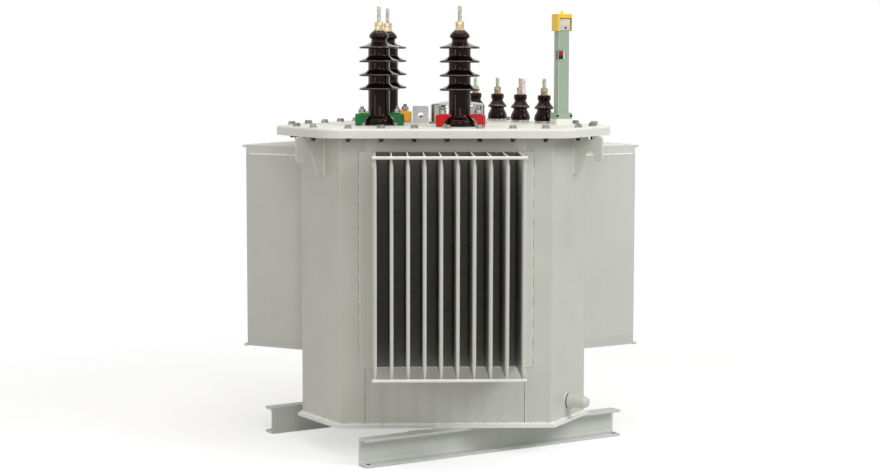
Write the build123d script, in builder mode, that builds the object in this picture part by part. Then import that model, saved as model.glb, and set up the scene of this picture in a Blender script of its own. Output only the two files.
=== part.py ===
"""Oil-immersed power transformer with a three-sided tank and corrugated cooling walls.

Millimetres, +Z up. The base channels run along X and stand on Z = 0. The origin is the centre
of the four holding-down holes in the channels' lower flanges. The tank is a triangle with its
corners cut off: a long side faces +X and carries the low-voltage bushings.
"""

from math import cos, radians, sin
import os

from build123d import *

# Base channels
channel_past_corner = 23.0
channel_height = 80.0
channel_flange = 43.0
channel_web = 5.0
channel_flange_thickness = 8.0
channel_root_radius = 6.0
channel_toe_radius = 3.0
channel_back_to_back = 530.0
foot_hole_radius = 7.0
foot_hole_from_end = 15.0
foot_hole_from_back = 29.0

# Tank, measured from its own axis to the outer faces
tank_x = 0.0
tank_y = 0.0
long_side_distance = 308.0
short_side_distance = 417.0
wall_thickness = 5.0
wall_bend_radius = 9.0
base_plate_thickness = 8.0
base_plate_overhang = 12.0
base_plate_corner_radius = 4.0
plain_sheet_half_width = 228.0

# Corrugated cooling walls
fin_count = 10
fin_pitch = 45.0
fin_depth = 258.0
fin_thickness = 10.0
fin_seam_thickness = 3.0
fin_seam_height = 6.0
fin_taper_height = 24.0
fin_root_radius = 4.0
fin_sheet_thickness = 4.0
fin_sheet_margin = 42.0
fin_bottom_above_base = 169.0
fin_height = 613.0
header_clearance = 50.0
fin_sheet_overlap = 10.0
fin_rod_radius = 4.5
fin_rod_overhang = 8.0
fin_rod_inset = 3.0
weld_gap = 0.2

# Top flange and rolled cover
flange_width = 58.0
flange_thickness = 12.0
flange_corner_radius = 78.0
cover_overhang = 72.0
cover_thickness = 6.0
cover_skirt_depth = 27.0
cover_corner_radius = 90.0
cover_edge_radius = 8.0

# Lifting hooks, out from the short sides
hook_thickness = 10.0
hook_reach = 90.0
hook_length = 110.0
hook_root_width = 22.0
hook_offset = 26.0
hook_tip_radius = 13.0
hook_slot_radius = 13.0
hook_slot_top = 44.0
hook_outer_radius = 8.0
hook_notch_width = 16.0
hook_notch_depth = 10.0
hook_notch_out = 52.0
hook_top_gap = 0.3
hook_tip_drop = 4.0

# Drain valve on the right corner
drain_height = 51.0
drain_offset = -8.0
drain_collar_radius = 25.0
drain_collar_thickness = 4.0
drain_neck_radius = 19.0
drain_neck_length = 3.0
drain_ring_radius = 22.0
drain_ring_length = 8.0
drain_barrel_radius = 18.0
drain_barrel_length = 38.0
drain_end_radius = 17.0
drain_outlet_radius = 4.0
drain_slot_width = 4.0
drain_slot_depth = 5.0

# High-voltage bushings: two abreast, one behind them
hv_pair_x = -70.0
hv_pair_y = 204.0
hv_single_x = -219.0
hv_foot_radius = 46.0
hv_foot_height = 18.0
hv_foot_edge_radius = 5.0
hv_head_edge_radius = 3.0
hv_shoulder_height = 26.0
hv_body_radius = 31.5
hv_first_shed = 104.0
hv_shed_pitch = 40.0
hv_shed_count = 4
hv_shed_radius = 58.0
hv_shed_edge = 5.0
hv_shed_rise = 17.0
hv_shed_undercut = 4.0
hv_neck_radius = 22.5
hv_neck_height = 12.0
hv_head_radius = 29.0
hv_head_height = 23.0
hv_head_top_radius = 14.0
hv_stud_radius = 6.0
hv_stud_length = 69.0
hv_nut_across_flats = 22.0
hv_nut_height = 10.0
hv_nut_count = 2
hv_nut_gap = 4.0

# Clamping claws round each high-voltage bushing
claw_count = 3
claw_width = 20.0
claw_outer_radius = 82.0
claw_leg_thickness = 14.0
claw_height = 38.0
claw_toe_radius = 39.0
claw_toe_length = 10.0
claw_arm_thickness = 12.0
claw_throat_step = 4.0
claw_throat_drop = 6.0
claw_toe_gap = 1.0

# Low-voltage bushings
lv_across = 297.0
lv_first = -102.5
lv_spacing = 127.0
lv_count = 4
lv_seat_thickness = 6.0
lv_seat_radius = 27.0
lv_foot_radius = 30.0
lv_foot_height = 12.0
lv_waist_radius = 21.5
lv_waist_height = 36.0
lv_shed_radius = 29.0
lv_shed_edge = 5.0
lv_shed_top = 58.0
lv_shed_lip = 2.0
lv_neck_height = 1.0
lv_foot_edge_radius = 4.0
lv_head_edge_radius = 3.0
lv_neck_radius = 17.0
lv_head_radius = 20.0
lv_head_height = 19.0
lv_head_flare = 4.0
lv_stud_radius = 6.0
lv_stud_length = 50.0
lv_nut_across_flats = 19.0
lv_nut_height = 9.0
lv_nut_count = 2
lv_nut_gap = 3.0

# Oil gauge with relief valve
gauge_x = 292.0
gauge_y = -198.0
gauge_turn = -14.0
gauge_boss_side = 54.0
gauge_boss_height = 16.0
gauge_foot_side = 52.0
gauge_foot_height = 18.0
gauge_side = 36.0
gauge_height = 243.0
gauge_corner_radius = 5.0
gauge_window_width = 18.0
gauge_window_height = 24.0
gauge_window_drop = 72.0
gauge_window_shift = -6.0
gauge_window_sill = 1.2
gauge_window_radius = 2.0
valve_collar_side = 41.0
valve_collar_height = 14.0
valve_drum_radius = 15.0
valve_drum_height = 22.0
valve_spindle_radius = 4.0
hood_side = 48.0
hood_height = 50.0
hood_wall = 2.5
hood_lap = 2.0
hood_lintel = 12.0
hood_reveal = 2.0
hood_mouth_shift = 1.0
hood_tip_radius = 1.0
hood_peak_radius = 5.0
hood_peak_height = 12.0
hood_corner_radius = 4.0

# Tap switch cap and cover lug
tap_x = 53.0
tap_y = 0.0
tap_flange_radius = 88.0
tap_flange_thickness = 6.0
tap_radius = 81.0
tap_wall_height = 58.0
tap_dome_rise = 10.0
tap_edge_radius = 6.0
lug_x = -77.0
lug_y = 0.0
lug_width = 47.0
lug_height = 54.0
lug_thickness = 10.0
lug_hole_radius = 8.0
lug_hole_height = 27.0
lug_corner_radius = 5.0

# Heights that follow from the sizes above
channel_length = 2 * (short_side_distance + channel_past_corner)
base_plate_z = channel_height
wall_z = base_plate_z + base_plate_thickness
tank_wall_height = fin_bottom_above_base + fin_height + header_clearance
wall_top_z = wall_z + tank_wall_height
cover_under_z = wall_top_z + flange_thickness
cover_z = cover_under_z + cover_thickness
skirt_z = cover_z - cover_skirt_depth
fin_z = wall_z + fin_bottom_above_base
fin_top_z = fin_z + fin_height

# Directions of the sides about the tank axis, in degrees
long_sides = {"front": -120.0, "right": 0.0, "left": 120.0}
corners = {"right": -60.0, "rear": 60.0, "left": 180.0}
front_direction = long_sides["front"]

# Places of the high-voltage bushings on the cover, from the tank axis
hv_places = {"a": (hv_pair_x, hv_pair_y), "b": (hv_single_x, 0.0), "c": (hv_pair_x, -hv_pair_y)}
lv_names = ("n", "a", "b", "c")

os.makedirs("parts", exist_ok=True)


def save(part, name):
    """Label a finished piece and write it to its own file."""
    part.label = name
    export_step(part, f"parts/{name}.step")


def half_length(own, other):
    """Half the length of a side at distance own, cut by sides at distance other."""
    return (other - own * cos(radians(60))) / sin(radians(60))


def on_tank(angle=0.0, x=0.0, y=0.0, z=0.0):
    """Location at (x, y, z) from the tank axis, turned by angle about Z."""
    return Location((tank_x + x, tank_y + y, z), (0, 0, angle))


def side_plane(angle, distance, z=0.0):
    """Plane on a side of the tank: X along the side, Y up, Z outward."""
    turn = radians(angle)
    return Plane(
        origin=(tank_x + distance * cos(turn), tank_y + distance * sin(turn), z),
        x_dir=(-sin(turn), cos(turn), 0),
        z_dir=(cos(turn), sin(turn), 0),
    )


def radial_plane(angle, distance, along=0.0, z=0.0):
    """Plane square to a side of the tank: X outward, Y up."""
    turn = radians(angle)
    return Plane(
        origin=(
            tank_x + distance * cos(turn) - along * sin(turn),
            tank_y + distance * sin(turn) + along * cos(turn),
            z,
        ),
        x_dir=(cos(turn), sin(turn), 0),
        z_dir=(sin(turn), -cos(turn), 0),
    )


def tank_outline(offset_out):
    """Corner points of the tank's plan, moved outward by offset_out."""
    far = short_side_distance + offset_out
    half = half_length(far, long_side_distance + offset_out)
    points = []
    for angle in sorted(corners.values()):
        turn = radians(angle)
        for along in (-half, half):
            points.append(
                (
                    tank_x + far * cos(turn) - along * sin(turn),
                    tank_y + far * sin(turn) + along * cos(turn),
                )
            )
    return points


def plan_slab(offset_out, corner_radius, z, thickness, mode=Mode.ADD):
    """A level slab with the tank's plan, its corners rounded."""
    with BuildSketch(Plane.XY.offset(z)) as plan:
        with BuildLine():
            Polyline(*tank_outline(offset_out), close=True)
        make_face()
        fillet(plan.vertices(), corner_radius)
    extrude(plan.sketch, amount=thickness, mode=mode)


# Base channels, backs facing each other
for side, name in ((-1, "channel_front"), (1, "channel_rear")):
    back = side * channel_back_to_back / 2
    with BuildPart() as channel:
        with BuildSketch(Plane.YZ.offset(-channel_length / 2)) as section:
            with Locations((back + side * channel_flange / 2, channel_height / 2)):
                Rectangle(channel_flange, channel_height)
            bay_depth = channel_flange - channel_web
            bay_height = channel_height - 2 * channel_flange_thickness
            with Locations((back + side * (channel_web + bay_depth / 2), channel_height / 2)):
                Rectangle(bay_depth, bay_height, mode=Mode.SUBTRACT)
            by_reach = section.vertices().sort_by(Axis.X, reverse=side > 0)
            fillet(by_reach[:4].sort_by(Axis.Y)[1:3], channel_toe_radius)
            inner = section.vertices().filter_by(
                lambda v: abs(abs(v.X - back) - channel_web) < 0.01
            )
            fillet(inner, channel_root_radius)
        extrude(amount=channel_length)
        hole_line = back + side * foot_hole_from_back
        hole_pitch = channel_length - 2 * foot_hole_from_end
        with Locations((0, hole_line, channel_flange_thickness / 2)):
            with GridLocations(hole_pitch, 1, 2, 1):
                Hole(foot_hole_radius, depth=channel_flange_thickness)
    save(channel.part, name)

# Base plate
with BuildPart() as base_plate:
    plan_slab(base_plate_overhang, base_plate_corner_radius, base_plate_z, base_plate_thickness)
save(base_plate.part, "base_plate")

# Bent corner plates, each reaching round onto the two long sides beside it
with BuildPart() as corner_plate:
    with BuildSketch(Plane.XY.offset(wall_z)) as bend:
        with BuildLine():
            face_points = []
            for depth in (0.0, wall_thickness):
                far = short_side_distance - depth
                near = long_side_distance - depth
                half = half_length(far, near)
                turn = radians(60)
                edge = (
                    near * cos(turn) + plain_sheet_half_width * sin(turn),
                    near * sin(turn) - plain_sheet_half_width * cos(turn),
                )
                row = [(edge[0], -edge[1]), (far, -half), (far, half), edge]
                face_points += row if depth == 0.0 else row[::-1]
            Polyline(*face_points, close=True)
        make_face()
        bends = bend.vertices().group_by(Axis.X)[-1]
        fillet(bends, wall_bend_radius)
        inner_bends = bend.vertices().filter_by(
            lambda v: abs(v.X - (short_side_distance - wall_thickness)) < 0.01
        )
        fillet(inner_bends, wall_bend_radius - wall_thickness)
    extrude(amount=tank_wall_height)

for corner, angle in corners.items():
    with BuildPart() as placed_corner:
        with Locations(on_tank(angle)):
            add(corner_plate.part)
    save(placed_corner.part, f"corner_plate_{corner}")

# Plain sheets below and above each corrugated wall
lower_sheet_height = fin_z + fin_sheet_overlap - wall_z
header_z = fin_top_z - fin_sheet_overlap
header_height = wall_top_z - header_z
for side, angle in long_sides.items():
    with BuildPart() as lower_sheet:
        with BuildSketch(side_plane(angle, long_side_distance - wall_thickness, wall_z)):
            Rectangle(
                2 * plain_sheet_half_width,
                lower_sheet_height,
                align=(Align.CENTER, Align.MIN),
            )
        extrude(amount=wall_thickness)
    save(lower_sheet.part, f"lower_sheet_{side}")
    with BuildPart() as header_sheet:
        with BuildSketch(side_plane(angle, long_side_distance - wall_thickness, header_z)):
            Rectangle(
                2 * plain_sheet_half_width,
                header_height,
                align=(Align.CENTER, Align.MIN),
            )
        extrude(amount=wall_thickness)
    save(header_sheet.part, f"header_sheet_{side}")

# One cooling fin: a flat oil channel, pressed shut and welded at both ends
fin_start = long_side_distance + fin_sheet_thickness
fin_end = long_side_distance + fin_depth


def fin_section(z, thickness):
    """Plan section of a fin, flared where it leaves the sheet."""
    half = thickness / 2
    with BuildSketch(Plane.XY.offset(z)) as section:
        with BuildLine():
            lower_side = Line((fin_start + fin_root_radius, -half), (fin_end - half, -half))
            tip = ThreePointArc(lower_side @ 1, (fin_end, 0), (fin_end - half, half))
            upper_side = Line(tip @ 1, (fin_start + fin_root_radius, half))
            upper_flare = RadiusArc(
                upper_side @ 1, (fin_start, half + fin_root_radius), fin_root_radius
            )
            root = Line(upper_flare @ 1, (fin_start, -half - fin_root_radius))
            RadiusArc(root @ 1, lower_side @ 0, fin_root_radius)
        make_face()
    return section.sketch


with BuildPart() as fin:
    for z, direction in ((fin_z, 1), (fin_top_z, -1)):
        seam_end = z + direction * fin_seam_height
        taper_end = seam_end + direction * fin_taper_height
        extrude(fin_section(z, fin_seam_thickness), amount=direction * fin_seam_height)
        loft([fin_section(seam_end, fin_seam_thickness), fin_section(taper_end, fin_thickness)])
    full_start = fin_z + fin_seam_height + fin_taper_height
    full_height = fin_height - 2 * (fin_seam_height + fin_taper_height)
    extrude(fin_section(full_start, fin_thickness), amount=full_height)

with BuildPart() as corrugated_wall:
    with BuildSketch(Plane.YZ.offset(long_side_distance)):
        with Locations((0, fin_z)):
            Rectangle(
                (fin_count - 1) * fin_pitch + 2 * fin_sheet_margin,
                fin_height,
                align=(Align.CENTER, Align.MIN),
            )
    extrude(amount=fin_sheet_thickness)
    with GridLocations(1, fin_pitch, 1, fin_count):
        add(fin.part)

# Round bars welded across the fin tips, top and bottom
rod_length = (fin_count - 1) * fin_pitch + 2 * fin_rod_overhang
rod_distance = fin_end + weld_gap + fin_rod_radius
with BuildPart() as rod_pair:
    for z in (fin_z + fin_rod_inset, fin_top_z - fin_rod_inset):
        with Locations((rod_distance, 0, z)):
            Cylinder(fin_rod_radius, rod_length, rotation=(90, 0, 0))

for side, angle in long_sides.items():
    with BuildPart() as fin_wall:
        with Locations(on_tank(angle)):
            add(corrugated_wall.part)
    save(fin_wall.part, f"fin_wall_{side}")
    with BuildPart() as fin_rods:
        with Locations(on_tank(angle)):
            add(rod_pair.part)
    save(fin_rods.part, f"fin_rods_{side}")

# Tank flange, lying on the wall tops
with BuildPart() as tank_flange:
    plan_slab(flange_width, flange_corner_radius, wall_top_z, flange_thickness)
    plan_slab(
        -wall_thickness,
        wall_bend_radius - wall_thickness,
        wall_top_z,
        flange_thickness,
        mode=Mode.SUBTRACT,
    )
save(tank_flange.part, "tank_flange")

# Cover with its edge rolled down over the flange
with BuildPart() as cover:
    plan_slab(cover_overhang, cover_corner_radius, skirt_z, cover_skirt_depth)
    fillet(cover.faces().sort_by(Axis.Z)[-1].edges(), cover_edge_radius)
    plan_slab(
        cover_overhang - cover_thickness,
        cover_corner_radius - cover_thickness,
        skirt_z,
        cover_skirt_depth - cover_thickness,
        mode=Mode.SUBTRACT,
    )
save(cover.part, "cover")

# Lifting hooks on the three short sides
hook_top = skirt_z - hook_top_gap
hook_bottom = hook_top - hook_length
slot_centre = (hook_reach - 2 * hook_tip_radius - hook_slot_radius, hook_top - hook_slot_top
               - hook_slot_radius)
tip_centre = (hook_reach - hook_tip_radius, slot_centre[1] - hook_tip_drop)
for corner, angle in corners.items():
    plane = radial_plane(angle, short_side_distance, hook_offset)
    with BuildPart() as hook:
        with BuildSketch(plane) as blank:
            with BuildLine():
                Polyline(
                    (0, hook_bottom),
                    (hook_root_width, hook_bottom),
                    (slot_centre[0] - hook_slot_radius, slot_centre[1]),
                )
                ThreePointArc(
                    (slot_centre[0] - hook_slot_radius, slot_centre[1]),
                    (slot_centre[0], slot_centre[1] + hook_slot_radius),
                    (slot_centre[0] + hook_slot_radius, slot_centre[1]),
                )
                Line(
                    (slot_centre[0] + hook_slot_radius, slot_centre[1]),
                    (tip_centre[0] - hook_tip_radius, tip_centre[1]),
                )
                ThreePointArc(
                    (tip_centre[0] - hook_tip_radius, tip_centre[1]),
                    (tip_centre[0], tip_centre[1] - hook_tip_radius),
                    (tip_centre[0] + hook_tip_radius, tip_centre[1]),
                )
                Polyline(
                    (hook_reach, tip_centre[1]),
                    (hook_reach, hook_top),
                    (0, hook_top),
                    (0, hook_bottom),
                )
            make_face()
            outer_corner = blank.vertices().sort_by_distance((hook_reach, hook_top))[0]
            fillet(outer_corner, hook_outer_radius)
            with Locations((hook_notch_out, hook_top)):
                Rectangle(hook_notch_width, 2 * hook_notch_depth, mode=Mode.SUBTRACT)
        extrude(amount=hook_thickness / 2, both=True)
    save(hook.part, f"lifting_hook_{corner}")

# Drain valve, square to the right corner
drain_plane = side_plane(corners["right"], short_side_distance, wall_z + drain_height)
with BuildPart() as drain_valve:
    steps = (
        (drain_collar_radius, drain_collar_thickness),
        (drain_neck_radius, drain_neck_length),
        (drain_ring_radius, drain_ring_length),
        (drain_barrel_radius, drain_barrel_length),
    )
    out = 0.0
    for radius, length in steps:
        with BuildSketch(drain_plane.offset(out)):
            with Locations((drain_offset, 0)):
                Circle(radius)
        extrude(amount=length)
        out += length
    end_centre = (drain_plane.offset(out)).from_local_coords(Vector(drain_offset, 0, 0))
    with Locations(end_centre):
        Sphere(drain_end_radius)
    slot_plane = drain_plane.offset(out + drain_end_radius - drain_slot_depth)
    with BuildSketch(slot_plane):
        with Locations((drain_offset, 0)):
            Rectangle(drain_slot_width, 2 * drain_end_radius)
    extrude(amount=2 * drain_slot_depth, mode=Mode.SUBTRACT)
    outlet_plane = Plane(
        drain_plane.offset(out).from_local_coords(Vector(drain_offset, -drain_end_radius / 2, 0)),
        x_dir=(1, 0, 0),
        z_dir=(0, 0, -1),
    )
    with BuildSketch(outlet_plane):
        Circle(drain_outlet_radius)
    extrude(amount=drain_end_radius, mode=Mode.SUBTRACT)
save(drain_valve.part, "drain_valve")

# High-voltage bushing porcelain, turned profile
hv_top_shed = hv_first_shed + (hv_shed_count - 1) * hv_shed_pitch
hv_neck_base = hv_top_shed + hv_shed_rise
hv_head_base = hv_neck_base + hv_neck_height
hv_height = hv_head_base + hv_head_height
with BuildPart() as hv_porcelain:
    with BuildSketch(Plane.XZ) as profile:
        with BuildLine():
            outline = [
                (0, 0),
                (hv_foot_radius, 0),
                (hv_foot_radius, hv_foot_height),
                (hv_body_radius, hv_shoulder_height),
            ]
            for k in range(hv_shed_count):
                shed = hv_first_shed + k * hv_shed_pitch
                above = hv_neck_radius if k == hv_shed_count - 1 else hv_body_radius
                outline += [
                    (hv_body_radius, shed + hv_shed_undercut),
                    (hv_shed_radius, shed),
                    (hv_shed_radius, shed + hv_shed_edge),
                    (above, shed + hv_shed_rise),
                ]
            outline += [
                (hv_neck_radius, hv_head_base),
                (hv_head_radius, hv_head_base),
                (hv_head_radius, hv_head_base + hv_head_height / 3),
                (hv_head_top_radius, hv_height),
                (0, hv_height),
            ]
            Polyline(*outline, close=True)
        make_face()
        rims = profile.vertices().filter_by(lambda v: abs(v.X - hv_shed_radius) < 0.01)
        fillet(rims, 0.45 * hv_shed_edge)
        foot_rim = profile.vertices().filter_by(lambda v: abs(v.X - hv_foot_radius) < 0.01)
        fillet(foot_rim, hv_foot_edge_radius)
        head_rim = profile.vertices().filter_by(lambda v: abs(v.X - hv_head_radius) < 0.01)
        fillet(head_rim, hv_head_edge_radius)
    revolve(axis=Axis.Z)

# High-voltage terminal: stud with nuts
with BuildPart() as hv_terminal_blank:
    with Locations((0, 0, hv_height)):
        Cylinder(
            hv_stud_radius,
            hv_stud_length,
            align=(Align.CENTER, Align.CENTER, Align.MIN),
        )
    for k in range(hv_nut_count):
        z = hv_height + k * (hv_nut_height + hv_nut_gap)
        with BuildSketch(Plane.XY.offset(z)):
            RegularPolygon(hv_nut_across_flats / 2, 6, major_radius=False, rotation=17 * k)
        extrude(amount=hv_nut_height)

# One clamping claw, pressing on the porcelain's foot
claw_toe_base = hv_shoulder_height + claw_toe_gap
with BuildPart() as claws:
    for k in range(claw_count):
        angle = 60 + k * 360 / claw_count
        turn = radians(angle)
        plane = Plane((0, 0, 0), x_dir=(cos(turn), sin(turn), 0), z_dir=(sin(turn), -cos(turn), 0))
        with BuildSketch(plane) as claw_side:
            with BuildLine():
                leg_inner = claw_outer_radius - claw_leg_thickness
                toe_outer = claw_toe_radius + claw_toe_length
                Polyline(
                    (leg_inner, 0),
                    (claw_outer_radius, 0),
                    (claw_outer_radius, claw_height),
                    (toe_outer, claw_height),
                    (claw_toe_radius, claw_height - claw_arm_thickness / 2),
                    (claw_toe_radius, claw_toe_base),
                    (toe_outer, claw_toe_base),
                    (leg_inner - claw_throat_step, claw_height - claw_arm_thickness),
                    (leg_inner, claw_height - claw_arm_thickness - claw_throat_drop),
                    close=True,
                )
            make_face()
        extrude(amount=claw_width / 2, both=True)

for phase, (x, y) in hv_places.items():
    for blank, name in (
        (hv_porcelain, "hv_bushing"),
        (hv_terminal_blank, "hv_terminal"),
        (claws, "hv_clamps"),
    ):
        with BuildPart() as placed:
            with Locations(on_tank(0, x, y, cover_z)):
                add(blank.part)
        save(placed.part, f"{name}_{phase}")

# Low-voltage bushing porcelain, turned profile, on its seat ring
lv_head_base = lv_shed_top + lv_neck_height
lv_height = lv_head_base + lv_head_height
with BuildPart() as lv_porcelain:
    with BuildSketch(Plane.XZ) as profile:
        with BuildLine():
            Polyline(
                (0, 0),
                (lv_foot_radius, 0),
                (lv_foot_radius, lv_foot_height),
                (lv_waist_radius, lv_waist_height),
                (lv_shed_radius, lv_waist_height + lv_shed_lip),
                (lv_shed_radius, lv_waist_height + lv_shed_lip + lv_shed_edge),
                (lv_neck_radius, lv_shed_top),
                (lv_neck_radius, lv_head_base),
                (lv_head_radius, lv_head_base + lv_head_flare),
                (lv_head_radius, lv_height),
                (0, lv_height),
                close=True,
            )
        make_face()
        foot_rim = profile.vertices().filter_by(lambda v: abs(v.X - lv_foot_radius) < 0.01)
        fillet(foot_rim, lv_foot_edge_radius)
        shed_rim = profile.vertices().filter_by(lambda v: abs(v.X - lv_shed_radius) < 0.01)
        fillet(shed_rim, 0.45 * lv_shed_edge)
        head_rim = profile.vertices().filter_by(lambda v: abs(v.X - lv_head_radius) < 0.01)
        fillet(head_rim, lv_head_edge_radius)
    revolve(axis=Axis.Z)

with BuildPart() as lv_terminal_blank:
    with Locations((0, 0, lv_height)):
        Cylinder(
            lv_stud_radius,
            lv_stud_length,
            align=(Align.CENTER, Align.CENTER, Align.MIN),
        )
    for k in range(lv_nut_count):
        z = lv_height + k * (lv_nut_height + lv_nut_gap)
        with BuildSketch(Plane.XY.offset(z)):
            RegularPolygon(lv_nut_across_flats / 2, 6, major_radius=False, rotation=23 * k)
        extrude(amount=lv_nut_height)

lv_seat_z = cover_z + lv_seat_thickness
with BuildPart() as lv_seats:
    for k in range(lv_count):
        place = on_tank(0, lv_across, lv_first + k * lv_spacing, cover_z)
        with Locations(place):
            Cylinder(
                lv_seat_radius,
                lv_seat_thickness,
                align=(Align.CENTER, Align.CENTER, Align.MIN),
            )
save(lv_seats.part, "lv_seats")

for k, phase in enumerate(reversed(lv_names)):
    place = on_tank(0, lv_across, lv_first + k * lv_spacing, lv_seat_z)
    with BuildPart() as placed_porcelain:
        with Locations(place):
            add(lv_porcelain.part)
    save(placed_porcelain.part, f"lv_bushing_{phase}")
    with BuildPart() as placed_terminal:
        with Locations(place):
            add(lv_terminal_blank.part)
    save(placed_terminal.part, f"lv_terminal_{phase}")

# Oil gauge: boss on the cover, foot, square tube with a window
gauge_place = on_tank(gauge_turn, gauge_x, gauge_y, cover_z)
gauge_tube_base = gauge_boss_height + gauge_foot_height
gauge_top = gauge_tube_base + gauge_height


def square_block(side, radius, z, height, mode=Mode.ADD):
    """An upright square block with rounded corners."""
    with BuildSketch(Plane.XY.offset(z)) as square:
        RectangleRounded(side, side, radius)
    extrude(square.sketch, amount=height, mode=mode)


with BuildPart() as gauge_boss_blank:
    square_block(gauge_boss_side, gauge_corner_radius, 0, gauge_boss_height)

with BuildPart() as gauge_tube_blank:
    square_block(gauge_foot_side, gauge_corner_radius, gauge_boss_height, gauge_foot_height)
    square_block(gauge_side, gauge_corner_radius, gauge_tube_base, gauge_height)
    window_z = gauge_top - gauge_window_drop
    with BuildSketch(Plane.XZ.offset(gauge_side / 2 - gauge_window_sill)):
        with Locations((gauge_window_shift, window_z)):
            RectangleRounded(gauge_window_width, gauge_window_height, gauge_window_radius)
    extrude(amount=2 * gauge_window_sill, mode=Mode.SUBTRACT)

with BuildPart() as relief_valve_blank:
    square_block(valve_collar_side, gauge_corner_radius, gauge_top, valve_collar_height)
    drum_z = gauge_top + valve_collar_height
    with Locations((0, 0, drum_z)):
        Cylinder(
            valve_drum_radius,
            valve_drum_height,
            align=(Align.CENTER, Align.CENTER, Align.MIN),
        )
    spindle_height = hood_height - hood_lap - hood_wall - valve_collar_height - valve_drum_height
    with Locations((0, 0, drum_z + valve_drum_height)):
        Cylinder(
            valve_spindle_radius,
            spindle_height,
            align=(Align.CENTER, Align.CENTER, Align.MIN),
        )

hood_z = gauge_top - hood_lap
with BuildPart() as relief_hood_blank:
    square_block(hood_side, hood_corner_radius, hood_z, hood_height)
    inner_side = hood_side - 2 * hood_wall
    square_block(
        inner_side,
        hood_corner_radius - hood_wall,
        hood_z,
        hood_height - hood_wall,
        mode=Mode.SUBTRACT,
    )
    with BuildSketch(Plane.XZ.offset(hood_side / 2 - 2 * hood_wall)):
        with Locations((hood_wall + hood_mouth_shift, hood_z)):
            Rectangle(
                inner_side - 2 * hood_reveal,
                hood_height - hood_lintel,
                align=(Align.CENTER, Align.MIN),
            )
    extrude(amount=3 * hood_wall, mode=Mode.SUBTRACT)
    with Locations((0, 0, hood_z + hood_height)):
        Cone(
            hood_peak_radius,
            hood_tip_radius,
            hood_peak_height,
            align=(Align.CENTER, Align.CENTER, Align.MIN),
        )

for blank, name in (
    (gauge_boss_blank, "gauge_boss"),
    (gauge_tube_blank, "gauge_tube"),
    (relief_valve_blank, "relief_valve"),
    (relief_hood_blank, "relief_hood"),
):
    with BuildPart() as placed_gauge:
        with Locations(gauge_place):
            add(blank.part)
    save(placed_gauge.part, name)

# Tap switch cap: flanged drum with a shallow dome
with BuildPart() as tap_cap:
    with BuildSketch(Plane.XZ) as profile:
        with BuildLine():
            Polyline(
                (0, 0),
                (tap_flange_radius, 0),
                (tap_flange_radius, tap_flange_thickness),
                (tap_radius, tap_flange_thickness),
                (tap_radius, tap_wall_height),
            )
            dome_radius = (tap_radius**2 + tap_dome_rise**2) / (2 * tap_dome_rise)
            RadiusArc(
                (tap_radius, tap_wall_height),
                (0, tap_wall_height + tap_dome_rise),
                -dome_radius,
            )
            Line((0, tap_wall_height + tap_dome_rise), (0, 0))
        make_face()
        shoulder = profile.vertices().sort_by_distance((tap_radius, tap_wall_height))[0]
        fillet(shoulder, tap_edge_radius)
    revolve(axis=Axis.Z)
with BuildPart() as tap_switch_cap:
    with Locations(on_tank(0, tap_x, tap_y, cover_z)):
        add(tap_cap.part)
save(tap_switch_cap.part, "tap_switch_cap")

# Lifting lug on the cover, square to the front side
lug_turn = radians(front_direction)
lug_plane = Plane(
    origin=(tank_x + lug_x, tank_y + lug_y, cover_z),
    x_dir=(-sin(lug_turn), cos(lug_turn), 0),
    z_dir=(cos(lug_turn), sin(lug_turn), 0),
)
with BuildPart() as cover_lug:
    with BuildSketch(lug_plane) as lug_face:
        Rectangle(lug_width, lug_height, align=(Align.CENTER, Align.MIN))
        fillet(lug_face.vertices().group_by(Axis.Y)[-1], lug_corner_radius)
        with Locations((0, lug_hole_height)):
            Circle(lug_hole_radius, mode=Mode.SUBTRACT)
    extrude(amount=lug_thickness / 2, both=True)
save(cover_lug.part, "cover_lug")
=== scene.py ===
"""Looks for the oil-immersed power transformer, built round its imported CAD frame.

Lengths in the makers are millimetres in the part's own frame: +Z up, +X towards the
low-voltage bushings, origin on the ground between the four holding-down holes. Lengths in
the shaders, the camera and the lamps are metres in the same frame.
"""

from math import atan2, cos, pi, radians, sin, tan

import bpy
from mathutils import Matrix, Vector


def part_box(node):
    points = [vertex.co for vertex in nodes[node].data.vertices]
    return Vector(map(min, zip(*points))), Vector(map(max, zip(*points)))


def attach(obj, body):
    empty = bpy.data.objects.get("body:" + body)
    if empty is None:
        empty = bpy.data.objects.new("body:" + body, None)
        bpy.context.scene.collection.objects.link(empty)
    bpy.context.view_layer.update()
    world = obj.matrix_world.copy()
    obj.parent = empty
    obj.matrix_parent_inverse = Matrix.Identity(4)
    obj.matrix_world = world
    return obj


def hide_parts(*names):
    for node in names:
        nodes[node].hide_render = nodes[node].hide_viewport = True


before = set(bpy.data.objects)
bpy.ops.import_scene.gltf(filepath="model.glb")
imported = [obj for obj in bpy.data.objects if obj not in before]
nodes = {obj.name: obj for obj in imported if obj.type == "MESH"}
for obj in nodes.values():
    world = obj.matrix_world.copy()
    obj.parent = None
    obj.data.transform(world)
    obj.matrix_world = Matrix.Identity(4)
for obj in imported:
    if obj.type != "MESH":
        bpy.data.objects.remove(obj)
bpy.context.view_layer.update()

MM = 0.001

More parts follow.
